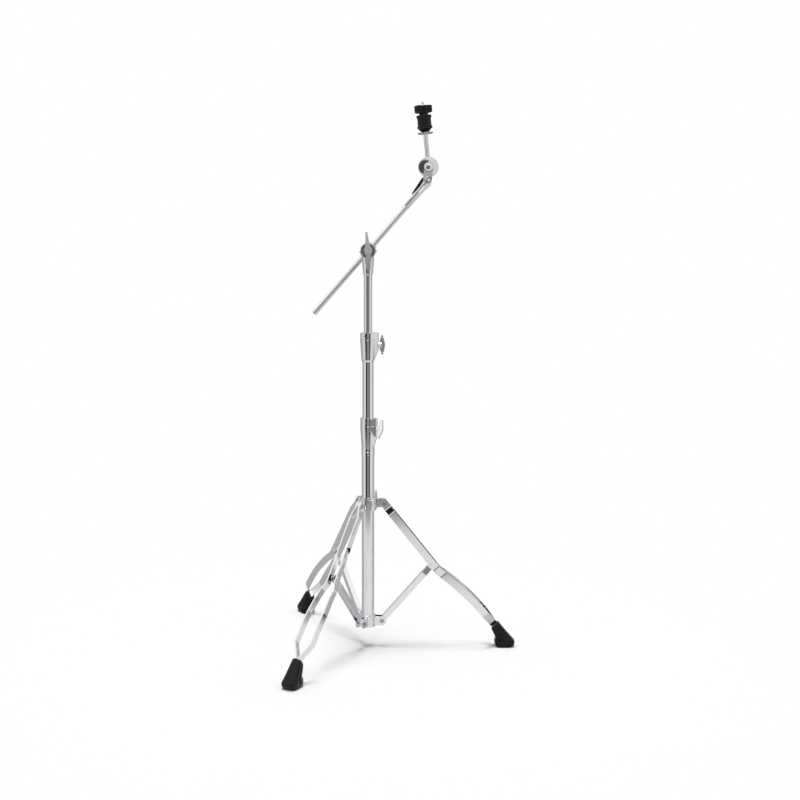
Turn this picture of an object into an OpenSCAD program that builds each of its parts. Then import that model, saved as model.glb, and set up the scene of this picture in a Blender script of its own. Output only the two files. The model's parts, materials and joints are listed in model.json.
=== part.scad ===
// Cymbal boom stand: double-strip tripod, two height clamps, a tilting boom and a locking tilter.
// Origin: axis of the column on the floor. +Z up, +X along the right-hand leg. Millimetres.

/* [Column] */
// Outer diameter of the base tube
base_tube_d = 28.6; // [27:0.1:31]
// Outer diameter of the middle tube
middle_tube_d = 25.4; // [23.5:0.1:25.6]
// Outer diameter of the upper tube
upper_tube_d = 19.05; // [17:0.05:20.5]
// Wall of all three tubes
tube_wall = 1.2; // [1:0.1:1.4]
// Height of the lower end of the base tube
base_tube_z = 50; // [46:1:56]
// Height of the top face of the lower clamp
lower_clamp_z = 513.5; // [480:0.5:560]
// Height of the top face of the upper clamp
upper_clamp_z = 710; // [680:0.5:760]
// Length of the middle tube
middle_tube_len = 485; // [440:1:500]
// Length of the upper tube
upper_tube_len = 470; // [440:1:500]

/* [Tripod] */
// Distance of each leg pivot from the column axis
leg_pivot_r = 37; // [35:0.5:42]
// Height of the leg pivots
leg_pivot_z = 335; // [325:1:350]
// Distance from the column axis of the rivet where leg and brace cross
cross_r = 149; // [140:1:158]
// Height of that crossing rivet
cross_z = 194; // [186:1:202]
// Distance of each brace pivot from the column axis
brace_pivot_r = 32; // [30:0.5:36]
// Height of the brace pivots
brace_pivot_z = 61; // [58:1:66]
// Width of the leg strips
strip_w = 17; // [15:0.5:19]
// Thickness of the leg strips
strip_t = 3; // [2.5:0.1:3.5]
// Distance along the leg from the crossing rivet to the bend of the waist
waist_len = 18; // [16:1:24]
// Radius of the arched lower leg
arch_r = 577; // [450:1:900]
// Distance from the column axis of the point where the strips enter the foot
foot_top_r = 292; // [280:1:304]
// Height of that point
foot_top_z = 50; // [46:1:56]
// Half spread of the strips at the leg pivots
spread_pivot = 4.65; // [4.6:0.05:5]
// Half spread of the strips at the crossing rivet
spread_cross = 9.6; // [9.4:0.1:11]
// Half spread of the strips just past the waist
spread_waist = 15; // [12:0.1:16]
// Half spread of the strips at their widest
spread_max = 19.7; // [17:0.1:22]
// Width of the brace channel
brace_w = 12; // [11:0.2:13]
// Height of the brace channel
brace_h = 13; // [12:0.2:15]
// Sheet of the brace channel
brace_wall = 1.5; // [1.2:0.1:1.8]
// Width of the brace channel where it is pinched at the crossing rivet
brace_neck_w = 7.6; // [7:0.1:8.4]
// Diameter of all leg and brace rivets
rivet_d = 6; // [5:0.1:6.4]
// Outer diameter of the bushes at the crossing rivet
cross_bush_d = 15; // [13:0.5:16]

/* [Collars and clamps] */
// Outer diameter of the ring of the leg collar
leg_collar_d = 40; // [38:0.5:44]
// Height of the leg collar
leg_collar_h = 28; // [26:1:32]
// Outer diameter of the ring of the bottom collar
bottom_collar_d = 35; // [34:0.5:38]
// Height of the bottom collar
bottom_collar_h = 26; // [24:1:28]
// Height of both clamp bodies
clamp_h = 51; // [46:1:56]
// Outer diameter of the clamps at the top
clamp_top_d = 35; // [34.4:0.2:38]
// Wall of the lower clamp at its bottom
clamp_foot_wall = 0.5; // [0.4:0.05:1]
// Length of nylon bush in each clamp
bush_len = 24; // [20:1:28]
// Reach of the screw boss from the clamp axis
boss_reach = 24; // [22:0.5:27]
// Height over which the screw boss keeps its full reach
boss_h = 24; // [20:1:30]
// Diameter of the thread of the clamp screws
screw_d = 8; // [7:0.1:8.4]
// Length of the grip of the clamp screws
grip_len = 44; // [38:1:50]
// Width of the grip of the clamp screws
grip_w = 13; // [11:0.5:16]
// Thickness of the grip of the clamp screws
grip_t = 5; // [4:0.2:6]
// Height of the lower memory ring
lower_ring_h = 17.5; // [15:0.5:20]
// Height of the upper memory ring
upper_ring_h = 14.5; // [13:0.5:18]

/* [Boom] */
// Height of the tilt axis of the boom
tilt_z = 907; // [900:1:920]
// Diameter of the face of the boom clamp
drum_d = 35.6; // [34:0.2:38]
// Front face of the boom clamp, measured from the column axis
drum_front = 12; // [11.6:0.1:13]
// Back face of the boom clamp, measured from the column axis
drum_back = 7; // [6:0.1:9]
// Angle of the boom above the horizontal
boom_angle = 48.9; // [30:0.1:60]
// Diameter of the boom rod
boom_rod_d = 12; // [11:0.1:12.6]
// Length of the boom rod below the tilt axis
boom_low = 183; // [150:1:220]
// Length of the boom rod above the tilt axis
boom_high = 172; // [168:1:190]
// Thickness of the rod holder
holder_t = 19; // [18:0.5:22]

/* [Tilter] */
// Diameter of the tilter disc
disc_d = 45.2; // [43:0.2:45.6]
// Thickness of the tilter disc
disc_t = 8.6; // [8:0.1:8.8]
// Thickness of each cheek
cheek_t = 3; // [2.5:0.1:3.5]
// Lean of the cymbal post from the vertical
post_lean = 5.6; // [0:0.1:20]
// Diameter of the plain part of the cymbal post
post_d = 10; // [9:0.1:10.5]
// Diameter of the thread of the cymbal post
thread_d = 6; // [5.6:0.1:6.4]
// Distance from the tilter hub to the shoulder of the post
shoulder_len = 72.3; // [64:0.1:90]
// Thickness of each felt
felt_t = 14.6; // [12:0.2:18]
// Diameter of the felts at their lips
felt_d = 34; // [30:0.5:38]
// Diameter of the cup washer
cup_d = 34.6; // [30:0.2:38]

/* [Hidden] */
$fn = 96;

// Clearances
run_gap = 0.05;      // radial, for a shaft that turns or slides in its hole
seat_gap = 0.05;     // radial, for a piece fixed in its hole
face_gap = 0.3;      // between flat faces of pieces that move on each other
cut = 1;             // how far a cutting solid stands past the face that it cuts
far = 900;           // longer than any single piece

// Radii of the tubes
base_r = base_tube_d / 2;
middle_r = middle_tube_d / 2;
upper_r = upper_tube_d / 2;
clamp_foot_d = base_tube_d + 2 * clamp_foot_wall;

// Directions of the legs round the column
leg_right = 0;
leg_rear = 120;
leg_left = 240;

// Tripod geometry in the plane of one leg: r is across, z is up
leg_pivot = [leg_pivot_r, leg_pivot_z];
cross = [cross_r, cross_z];
brace_pivot = [brace_pivot_r, brace_pivot_z];
foot_top = [foot_top_r, foot_top_z];
leg_slope = atan2(leg_pivot_z - cross_z, cross_r - leg_pivot_r);
leg_dir = [cos(leg_slope), -sin(leg_slope)];
leg_normal = [sin(leg_slope), cos(leg_slope)];
leg_len = norm(cross - leg_pivot);
brace_slope = atan2(cross_z - brace_pivot_z, cross_r - brace_pivot_r);
brace_len = norm(cross - brace_pivot);
waist = cross + waist_len * leg_dir;
arch_chord = foot_top - waist;
arch_half = norm(arch_chord) / 2;
arch_side = [arch_chord[1], -arch_chord[0]] / (2 * arch_half);
arch_centre = (waist + foot_top) / 2 + sqrt(arch_r * arch_r - arch_half * arch_half) * arch_side;
foot_radius_dir = (foot_top - arch_centre) / arch_r;
foot_slope = atan2(foot_radius_dir[0], foot_radius_dir[1]);
foot_dir = [foot_radius_dir[1], -foot_radius_dir[0]];
waist_normal = (waist - arch_centre) / arch_r;
waist_dir = [waist_normal[1], -waist_normal[0]];
waist_slope = atan2(waist_normal[0], waist_normal[1]);
foot_grip = 20;              // length of strip held in the foot
pinch = strip_t / 2 + 0.3;   // half spread of the strips inside the foot
tip_back = 13;               // reach of the strips past the leg pivot, towards the column
tip_up = 11.5;               // rise of the strips above the leg pivot

step_at = 12;                // from the leg pivot to the step of the strips past the collar
step_len = 17;
flare_len = 20;              // length of the second step, at the waist
spread_rise = 72;            // from the waist to the widest place of the strips
spread_fall = 38;            // from the widest place to the foot
s_foot = (foot_top - leg_pivot) * leg_dir;

// Stations along a strip, measured from the leg pivot, with the half spread at each
strip_path = [
    [-40, spread_pivot], [step_at, spread_pivot], [step_at + step_len, spread_cross],
    [leg_len + waist_len - 6, spread_cross], [leg_len + waist_len - 6 + flare_len, spread_waist],
    [leg_len + waist_len + spread_rise, spread_max], [s_foot - spread_fall, spread_max],
    [s_foot - 3, pinch], [s_foot + 40, pinch]
];
strip_bend_r = 3;            // length of each bend of a strip, before and after its corner
rivet_r = rivet_d / 2;
head_r = rivet_r + 2;
head_t = 1.2;
ear_t = 2 * (spread_pivot - strip_t / 2) - 2 * 0.15;
collar_ear_gap = brace_w / 2 + face_gap;
collar_ear_t = 2.5;

peg_hole_angles = [-57, 183];   // round holes of the leg collar
bush_slit = 1.5;
lobe_r = 6.4;                // round end of the screw boss of the clamps and of the memory rings
lower_drop = 5.8;            // depth of each clamp screw below the top face of its clamp
upper_drop = 12.8;
lower_turn = -30;            // direction of each screw boss round the column
upper_turn = 0;
lower_spin = -22;            // turn of the lower grip at rest
lower_key_at = -122;         // direction of each key screw round the column
upper_key_at = -131;
key_d = 5;
key_head = 5.6;
key_sink = 3;                // depth of the seat of the key screw
ring_gap = 0.05;             // between a memory ring and the clamp that it rests on
teeth = 18;
tooth_depth = 0.8;
tooth_gap = 1.6;
drum_recess = 3.5;           // sunk front face of the boom clamp
drum_rim = 2;

// Boom geometry: u runs up the rod from the tilt axis, v is square to it, up and to the left
rod_y = drum_back + face_gap + holder_t / 2;
hub_u = 228.3;               // tilter hub
hub_v = 20.5;
pin_u = 206.9;               // lower cheek screw
pin_v = 4.3;
lever_u = 201;               // lever pin
lever_v = 8;
lever_len = 40;
disc_r = disc_d / 2;
cheek_low_r = 9.2;           // round lower end of the cheeks
cheek_high_r = 10.6;         // round upper end of the cheeks
cheek_in = disc_t / 2 + face_gap;
hub_x = hub_u * cos(boom_angle) - hub_v * sin(boom_angle);
hub_z = tilt_z + hub_u * sin(boom_angle) + hub_v * cos(boom_angle);
socket_start = 130;          // where the boom end begins on the rod
socket_wall = 0.5;           // wall of the boom end at that place
washer_t = 1.8;              // flat part of the cup washer
seat_h = 9.8;                // cone under the felts
felt_start = shoulder_len + washer_t + seat_h + 2 * run_gap;
nut_start = felt_start + 2 * felt_t + 2 * face_gap;
nut_top = nut_start + 21;
pilot_d = 5;                 // plain tip of the post, above the nut
pilot_len = 6;
sleeve_t = 1.8;              // wall of the sleeve under the felts
spigot_d = 7;                // end of the post that is pressed into the disc
spigot_len = 9.6;
post_len = nut_top + 1 + pilot_len;

// ---------- shared shapes ----------

// Solid of revolution between two heights
module rod(d, z0, z1) {
    translate([0, 0, z0]) cylinder(d = d, h = z1 - z0);
}

// Tube between two heights
module pipe(d_out, d_in, z0, z1) {
    difference() {
        rod(d_out, z0, z1);
        rod(d_in, z0 - cut, z1 + cut);
    }
}

// Bar along +X between two distances from the axis
module bar_x(d, x0, x1) {
    translate([x0, 0, 0]) rotate([0, 90, 0]) cylinder(d = d, h = x1 - x0);
}

// Bar along Y between two places
module bar_y(d, y0, y1) {
    translate([0, y0, 0]) rotate([-90, 0, 0]) cylinder(d = d, h = y1 - y0);
}

// Flat outline in the XZ plane, thickened along Y from y0 to y1
module plate(y0, y1) {
    translate([0, y1, 0]) rotate([90, 0, 0]) linear_extrude(height = y1 - y0) children();
}

// Round body with one round lobe towards +X, h high
module lobed_body(r, lobe_r, reach, h) {
    d = reach - lobe_r;
    a = acos((r - lobe_r) / d);
    n = [cos(a), sin(a)];
    big = (r - 0.08) * n;
    small = [d, 0] + (lobe_r - 0.08) * n;
    cylinder(r = r, h = h);
    translate([d, 0, 0]) cylinder(r = lobe_r, h = h);
    linear_extrude(height = h)
        polygon([big, small, [small[0], -small[1]], [big[0], -big[1]]]);
}

// Places a piece drawn in the XZ plane of the right-hand leg on the leg at angle a
module on_leg(a) {
    rotate([0, 0, a]) children();
}

// Frame of the boom: X becomes u, Z becomes v, Y stays
module on_boom() {
    translate([0, rod_y, tilt_z]) rotate([0, -boom_angle, 0]) children();
}

// Frame of the cymbal post: Z runs up the post from the tilter hub
module on_post() {
    translate([hub_x, rod_y, hub_z]) rotate([0, -post_lean, 0]) children();
}

// ---------- tripod ----------

// Straight upper part of the leg, ending inside the arched part, seen square to its plane
module leg_straight_outline(half) {
    bend = leg_slope - waist_slope;
    start = leg_pivot + half * leg_normal;
    rise = (tip_up - half * leg_normal[1]) / leg_dir[1];
    polygon([
        leg_pivot + [-tip_back, tip_up], start + rise * leg_dir,
        waist + half * leg_normal + 6 * leg_dir, waist + 7 * waist_dir - (half - 0.6) * waist_normal,
        waist - half * leg_normal + half * tan(bend / 2) * leg_dir,
        leg_pivot - half * leg_normal, leg_pivot + [-tip_back, -half * 0.45]
    ]);
}

// Arched lower part of the leg: a sector of a ring that runs on past the foot by grip degrees
module leg_arch_outline(half, grip) {
    end = foot_slope + grip;
    intersection() {
        translate(arch_centre) difference() {
            circle(r = arch_r + half, $fn = 720);
            circle(r = arch_r - half, $fn = 720);
        }
        polygon([
            arch_centre, arch_centre + 1.3 * arch_r * waist_normal,
            arch_centre + 1.3 * arch_r * [sin(end), cos(end)]
        ]);
    }
}

// Replaces each inner corner of a path by a soft bend that starts r before it
function soften(path, r) = [
    for (i = [0:len(path) - 1]) let (
        v = path[i],
        before = path[max(i - 1, 0)],
        after = path[min(i + 1, len(path) - 1)],
        back = norm(before - v),
        on = norm(after - v)
    ) each (back == 0 || on == 0) ? [v] : let (
        a = v + (before - v) * min(r, 0.45 * back) / back,
        b = v + (after - v) * min(r, 0.45 * on) / on
    ) [for (t = [0:0.25:1]) (1 - t) * (1 - t) * a + 2 * t * (1 - t) * v + t * t * b]
];

// Band that follows the spread of one strip, thickened across the leg
module strip_band() {
    path = soften(strip_path, strip_bend_r);
    n = len(path);
    rise = 160;
    outer = [for (p = path) [p[0], p[1] + strip_t / 2]];
    inner = [for (i = [n - 1:-1:0]) [path[i][0], path[i][1] - strip_t / 2]];
    translate([leg_pivot_r, 0, leg_pivot_z]) rotate([0, leg_slope, 0])
        linear_extrude(height = rise, center = true) polygon(concat(outer, inner));
}

// One strip of a leg; side is -1 for the strip on the clockwise side
module leg_strip(a, side) {
    grip_angle = foot_grip / arch_r * 180 / PI;
    color("gainsboro") on_leg(a) mirror([0, side < 0 ? 1 : 0, 0]) difference() {
        intersection() {
            union() {
                plate(0, spread_max + strip_t) leg_straight_outline(strip_w / 2);
                plate(0, spread_max + strip_t) leg_arch_outline(strip_w / 2, grip_angle);
            }
            strip_band();
        }
        translate([leg_pivot_r, 0, leg_pivot_z]) bar_y(rivet_d + 2 * run_gap, 0, far);
        translate([cross_r, 0, cross_z]) bar_y(rivet_d + 2 * seat_gap, 0, far);
    }
}

// Rivet along Y through a stack of half width w
module rivet(w) {
    bar_y(rivet_d, -w, w);
    for (m = [0, 1]) mirror([0, m, 0]) {
        bar_y(2 * head_r, w, w + head_t);
    }
}

module leg_rivets() {
    color("silver") for (a = [leg_right, leg_rear, leg_left]) on_leg(a)
        translate([leg_pivot_r, 0, leg_pivot_z]) rivet(spread_pivot + strip_t / 2);
}

module brace_rivets() {
    color("silver") for (a = [leg_right, leg_rear, leg_left]) on_leg(a)
        translate([brace_pivot_r, 0, brace_pivot_z]) rivet(collar_ear_gap + collar_ear_t);
}

// Headed studs that stay in the strips where the brace pivots
module cross_rivets(a) {
    w = spread_cross;
    color("silver") on_leg(a) translate([cross_r, 0, cross_z]) for (m = [0, 1]) mirror([0, m, 0]) {
        bar_y(rivet_d, w - strip_t / 2, w + strip_t / 2);
        bar_y(2 * head_r, w + strip_t / 2, w + strip_t / 2 + head_t);
    }
}

// Outline of the brace seen from the side, from pivot to pivot along X
module brace_outline(half, reach) {
    translate([-reach, -half]) square([brace_len + 2 * reach, 2 * half]);
}

// Width of the channel along its length, less a wall on each side
module brace_plan(wall) {
    w = brace_w / 2 - wall;
    n = brace_neck_w / 2 - wall;
    x0 = -20;
    x1 = brace_len - 30;
    x2 = brace_len - 12;
    x3 = brace_len + 20;
    polygon([[x0, w], [x1, w], [x2, n], [x3, n], [x3, -n], [x2, -n], [x1, -w], [x0, -w]]);
}

// Pressed channel, open below, with round ears at both ends
module brace(a) {
    half = brace_h / 2;
    web_cut = half + 3;
    color("gainsboro") on_leg(a) translate([brace_pivot_r, 0, brace_pivot_z])
        rotate([0, -brace_slope, 0]) difference() {
            intersection() {
                plate(-brace_w, brace_w) {
                    brace_outline(half, 0);
                    circle(r = half);
                    translate([brace_len, 0]) circle(r = half);
                }
                linear_extrude(height = 2 * brace_h, center = true) brace_plan(0);
            }
            translate([0, 0, -brace_h + half - brace_wall])
                linear_extrude(height = brace_h) brace_plan(brace_wall);
            linear_extrude(height = brace_h) intersection() {
                brace_plan(brace_wall);
                union() {
                    translate([-2 * half, -brace_w]) square([2 * half + web_cut, 2 * brace_w]);
                    translate([brace_len - web_cut, -brace_w]) square([2 * half + web_cut, 2 * brace_w]);
                }
            }
            bar_y(rivet_d + 2 * run_gap, -brace_w, brace_w);
            translate([brace_len, 0, 0]) bar_y(rivet_d + 2 * seat_gap, -brace_w, brace_w);
        }
}

// Nylon bushes on both sides of the pinched end of a brace
module brace_bushes(a) {
    outer = spread_cross - strip_t / 2 - face_gap;
    neck = brace_neck_w / 2;
    color([0.06, 0.06, 0.07]) on_leg(a) translate([cross_r, 0, cross_z]) for (m = [0, 1])
        mirror([0, m, 0]) {
            bar_y(cross_bush_d, neck + seat_gap, outer);
            bar_y(rivet_d, neck - brace_wall, neck + seat_gap + cut / 2);
        }
}

// Stations of the boot from its mouth to its sole: inner r and z, outer r and z, half width, share
// of the flute depth. The mouth moves with the end of the strips, the sole stays below it.
boot_stations = [
    for (q = [
        [-7, -8.4, 8.6, 7.6, 11.6, 0],
        [-6.4, -10.2, 10.6, 6.2, 12.4, 1],
        [-2.5, -19, 20.5, -6.5, 13.6, 1],
        [1.4, -26.2, 30, -17.5, 15, 0.75],
        [2.6, -30.4, 37, -25.4, 16.2, 0.25],
        [0.6, -34.8, 44.8, -34, 18.1, 0],
        [0.3, -36.8, 46.6, -37.4, 18.5, 0],
        [0.6, -41.6, 46.8, -41.4, 18.4, 0],
        [1.6, -46, 44.8, -46, 17.9, 0],
        [3.6, -49, 42, -48.8, 17, 0],
        [6, -50, 38.6, -50, 15.8, 0]
    ]) [
        foot_top_r + q[0], foot_top_z * (1 + q[1] / 50),
        foot_top_r + q[2], foot_top_z * (1 + q[3] / 50), q[4], q[5]
    ]
];
boot_around = 48;
boot_flutes = 3;
boot_flute_depth = 1.2;
boot_squareness = 3.6;

// Distance from the centre to the edge of a soft square, at angle a
function boot_edge(a) = let (n = boot_squareness) pow(pow(abs(cos(a)), n) + pow(abs(sin(a)), n), -1 / n);

// Ring of points round station i of the boot
function boot_ring(i) = let (q = boot_stations[i]) [
    for (k = [0:boot_around - 1]) let (
        a = 360 * k / boot_around,
        wave = pow(abs(sin(a)), 2) * (0.5 - 0.5 * cos(2 * boot_flutes * a)),
        half = q[4] - boot_flute_depth * wave * q[5],
        u = 0.5 + 0.5 * cos(a) * boot_edge(a)
    ) [q[0] + (q[2] - q[0]) * u, sin(a) * boot_edge(a) * half, q[1] + (q[3] - q[1]) * u]
];

// Skin over rings of equal size, closed at both ends
module loft(rings) {
    n = len(rings[0]);
    m = len(rings);
    points = [for (ring = rings, p = ring) p];
    sides = [
        for (i = [0:m - 2], k = [0:n - 1]) let (a = i * n + k, b = i * n + (k + 1) % n)
            each [[a, b, b + n], [a, b + n, a + n]]
    ];
    first = [for (k = [n - 1:-1:0]) k];
    last = [for (k = [0:n - 1]) (m - 1) * n + k];
    polyhedron(points, concat([first], sides, [last]));
}

// Rubber boot: fluted flanks, a swollen lip, a rocker sole and a slot for the two strips
module foot(a) {
    slot = pinch + strip_t / 2 + seat_gap;
    half = (strip_w / 2 + 2 * seat_gap) * foot_radius_dir;
    mouth = foot_top - 20 * foot_dir;
    end = foot_top + (foot_grip + seat_gap) * foot_dir;
    color([0.07, 0.07, 0.08]) on_leg(a) difference() {
        loft([for (i = [0:len(boot_stations) - 1]) boot_ring(i)]);
        plate(-slot, slot) polygon([mouth + half, end + half, end - half, mouth - half]);
    }
}

// ---------- column ----------

module base_tube() {
    color("gainsboro") pipe(base_tube_d, base_tube_d - 2 * tube_wall, base_tube_z,
                            lower_clamp_z - bush_len);
}

// Ring fixed to the foot of the base tube, with a pair of ears for each brace
module bottom_collar() {
    bottom = brace_pivot_z - bottom_collar_h / 2;
    ear_r = 10.2;
    color("lightgray") difference() {
        union() {
            rod(bottom_collar_d, bottom, bottom + bottom_collar_h);
            for (a = [leg_right, leg_rear, leg_left], m = [0, 1]) on_leg(a) mirror([0, m, 0])
                plate(collar_ear_gap, collar_ear_gap + collar_ear_t) {
                    translate(brace_pivot) circle(r = ear_r);
                    translate([base_r - 4, brace_pivot_z - ear_r])
                        square([brace_pivot_r - base_r + 4, 2 * ear_r]);
                }
        }
        rod(base_tube_d + 2 * seat_gap, base_tube_z, bottom + bottom_collar_h + cut);
        rod(base_tube_d - 4, bottom - cut, base_tube_z + cut);
        for (a = [leg_right, leg_rear, leg_left]) on_leg(a)
            translate([brace_pivot_r, 0, brace_pivot_z])
                bar_y(rivet_d + 2 * seat_gap, -brace_w, brace_w);
    }
}

// Sliding collar: ring, one ear for each leg, three arched ribs and the screw boss
module leg_collar() {
    ring_r = leg_collar_d / 2;
    bottom = leg_pivot_z - leg_collar_h / 2;
    ear_r = 8;
    rib_w = 9;
    rib_angles = [-90, 30, 150];
    boss_d = 14;
    color("lightgray") difference() {
        union() {
            rod(leg_collar_d, bottom, bottom + leg_collar_h);
            for (a = [leg_right, leg_rear, leg_left]) on_leg(a) plate(-ear_t / 2, ear_t / 2) {
                translate(leg_pivot) circle(r = ear_r);
                polygon([
                    [base_r + 2, bottom + 4], leg_pivot + [0, -ear_r],
                    leg_pivot + [0, ear_r], [base_r + 2, bottom + leg_collar_h - 3]
                ]);
            }
            for (a = rib_angles) rotate([0, 0, a + 90]) translate([0, 0, bottom + 8])
                plate(-ring_r - 1.2, -ring_r + 2) {
                    square([rib_w, leg_collar_h - 16], center = false);
                    translate([rib_w / 2, leg_collar_h - 16]) circle(d = rib_w);
                }
            rotate([0, 0, 60]) translate([0, 0, leg_pivot_z + 4])
                bar_x(boss_d, base_r + 2, leg_collar_screw_seat());
        }
        rod(base_tube_d + 2 * run_gap, bottom - cut, bottom + leg_collar_h + cut);
        rotate([0, 0, 60]) translate([0, 0, leg_pivot_z + 4])
            bar_x(screw_d + 2 * run_gap, 0, ring_r + 12);
        for (a = peg_hole_angles) rotate([0, 0, a]) translate([0, 0, leg_pivot_z])
            bar_x(3.4, ring_r - 2, ring_r + cut);
        for (a = [leg_right, leg_rear, leg_left]) on_leg(a)
            translate([leg_pivot_r, 0, leg_pivot_z])
                bar_y(rivet_d + 2 * seat_gap, -brace_w, brace_w);
    }
}

function leg_collar_screw_seat() = leg_collar_d / 2 + 6;

// Screw along +X with a flat leaf-shaped grip; seat is the face of the boss, spin turns the grip
module wing_screw(tip, seat, spin) {
    hub_d = 11;
    hub_len = 6;
    end_r = 2.6;
    start = seat + face_gap;
    half = grip_len / 2 - end_r;
    bow = grip_w / 2;
    bow_r = (half * half + bow * bow) / (2 * bow);
    color("silver") rotate([spin, 0, 0]) {
        bar_x(screw_d, tip, start + cut);
        bar_x(hub_d, start, start + hub_len);
        translate([start + 1 + bow, 0, 0]) plate(-grip_t / 2, grip_t / 2) {
            intersection() {
                translate([bow_r - bow, 0]) circle(r = bow_r, $fn = 180);
                translate([bow - bow_r, 0]) circle(r = bow_r, $fn = 180);
            }
            for (z = [-half, half]) translate([0, z]) circle(r = end_r);
            square([grip_w * 0.62, grip_len * 0.72], center = true);
        }
    }
}

module leg_collar_screw() {
    rotate([0, 0, 60]) translate([0, 0, leg_pivot_z + 4])
        wing_screw(base_r + 0.4, leg_collar_screw_seat(), 0);
}

// Tapered cup with a screw boss that grows out of it; t is the radius of the tube that it stands on
module clamp_body(top, t, screw_drop, azimuth) {
    foot_r = clamp_foot_d / 2;
    rim_h = 5;
    toe_h = 4;
    bottom = top - clamp_h;
    color("lightgray") rotate([0, 0, azimuth]) difference() {
        union() {
            translate([0, 0, bottom]) cylinder(r1 = t + 0.3, r2 = foot_r, h = toe_h);
            translate([0, 0, bottom + toe_h])
                cylinder(r1 = foot_r, r2 = clamp_top_d / 2, h = clamp_h - rim_h - toe_h);
            rod(clamp_top_d, top - rim_h, top);
            hull() {
                translate([boss_reach - lobe_r, 0, top - boss_h])
                    cylinder(r = lobe_r, h = boss_h, $fn = 64);
                translate([0, 0, top - 1]) cylinder(d = clamp_top_d - 0.2, h = 1, $fn = 64);
                translate([foot_r - lobe_r, 0, bottom + toe_h])
                    cylinder(r = lobe_r, h = 2, $fn = 64);
            }
        }
        rod(2 * t + 2 * seat_gap, bottom - cut, top + cut);
        translate([0, 0, top - screw_drop]) bar_x(screw_d + 2 * run_gap, 0, far);
    }
}

// Split nylon bush that fills the clamp above the end of the outer tube
module clamp_bush(top, t, inner) {
    color("whitesmoke") difference() {
        pipe(2 * t, 2 * inner + 2 * run_gap, top - bush_len, top);
        rotate([0, 0, 180]) translate([0, -bush_slit / 2, top - bush_len - cut])
            cube([far, bush_slit, bush_len + 2 * cut]);
    }
}

// Brass pad between the tip of a clamp screw and the bush
module clamp_pad(top, t, screw_drop, azimuth) {
    color("goldenrod") rotate([0, 0, azimuth]) translate([0, 0, top - screw_drop])
        bar_x(screw_d - 0.4, t + 0.1, t + 1.8);
}

module clamp_screw(top, t, screw_drop, azimuth, spin) {
    rotate([0, 0, azimuth]) translate([0, 0, top - screw_drop]) wing_screw(t + 2, boss_reach, spin);
}

// Ring with a lobe that matches the clamp below it, and a sunk seat for the key screw
module memory_ring(bottom, h, inner, azimuth, key_at) {
    color("silver") difference() {
        translate([0, 0, bottom]) rotate([0, 0, azimuth])
            lobed_body(clamp_top_d / 2, lobe_r, boss_reach, h);
        rod(2 * inner + 2 * run_gap, bottom - cut, bottom + h + cut);
        rotate([0, 0, key_at]) translate([0, 0, bottom + h / 2]) {
            bar_x(key_d + 2 * seat_gap, 0, far);
            bar_x(key_head * sqrt(2) + 2, clamp_top_d / 2 - key_sink, far);
        }
    }
}

// Square-headed screw that fixes a memory ring to its tube
module key_screw(z, inner, key_at) {
    start = clamp_top_d / 2 - key_sink + seat_gap;
    color("whitesmoke") rotate([0, 0, key_at]) translate([0, 0, z]) {
        bar_x(key_d, inner + 0.2, start + cut);
        translate([start, -key_head / 2, -key_head / 2]) cube([key_sink + cut, key_head, key_head]);
    }
}

module lower_clamp_body() {
    clamp_body(lower_clamp_z, base_r, lower_drop, lower_turn);
}

// Grooved ring pressed on the base tube under the lower clamp
module lower_clamp_ferrule() {
    top = lower_clamp_z - clamp_h - 0.2;
    h = 15;
    color("silver") difference() {
        rod(base_tube_d + 1.6, top - h, top);
        rod(base_tube_d + 2 * seat_gap, top - h - cut, top + cut);
        translate([0, 0, top - h / 2])
            rotate_extrude() translate([base_r + 0.95, 0]) circle(r = 0.6, $fn = 24);
    }
}

module lower_clamp_bush() {
    clamp_bush(lower_clamp_z, base_r, middle_r);
}

module lower_clamp_pad() {
    clamp_pad(lower_clamp_z, base_r, lower_drop, lower_turn);
}

module lower_clamp_screw() {
    clamp_screw(lower_clamp_z, base_r, lower_drop, lower_turn, lower_spin);
}

module lower_memory_ring() {
    memory_ring(lower_clamp_z + ring_gap, lower_ring_h, middle_r, lower_turn, lower_key_at);
}

module lower_key_screw() {
    key_screw(lower_clamp_z + ring_gap + lower_ring_h / 2, middle_r, lower_key_at);
}

module middle_tube() {
    top = upper_clamp_z - bush_len;
    color("gainsboro") pipe(middle_tube_d, middle_tube_d - 2 * tube_wall, top - middle_tube_len, top);
}

module upper_clamp_body() {
    clamp_body(upper_clamp_z, middle_r, upper_drop, upper_turn);
}

module upper_clamp_bush() {
    clamp_bush(upper_clamp_z, middle_r, upper_r);
}

module upper_clamp_pad() {
    clamp_pad(upper_clamp_z, middle_r, upper_drop, upper_turn);
}

module upper_clamp_screw() {
    clamp_screw(upper_clamp_z, middle_r, upper_drop, upper_turn, 0);
}

module upper_memory_ring() {
    memory_ring(upper_clamp_z + ring_gap, upper_ring_h, upper_r, upper_turn, upper_key_at);
}

module upper_key_screw() {
    key_screw(upper_clamp_z + ring_gap + upper_ring_h / 2, upper_r, upper_key_at);
}

module upper_tube() {
    top = tilt_z - drum_d / 2 - 4;
    color("gainsboro") pipe(upper_tube_d, upper_tube_d - 2 * tube_wall, top - upper_tube_len, top);
}

// ---------- boom clamp ----------

// Radial grooves in a toothed face; depth_from and depth_to bound them along Y
module face_teeth(depth_from, depth_to) {
    inner = drum_d * 0.3;
    for (i = [0:teeth - 1]) rotate([0, (i + 0.5) * 360 / teeth, 0])
        translate([inner, depth_from, -tooth_gap / 2])
            cube([drum_d / 2 - inner + 0.6, depth_to - depth_from, tooth_gap]);
}

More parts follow.
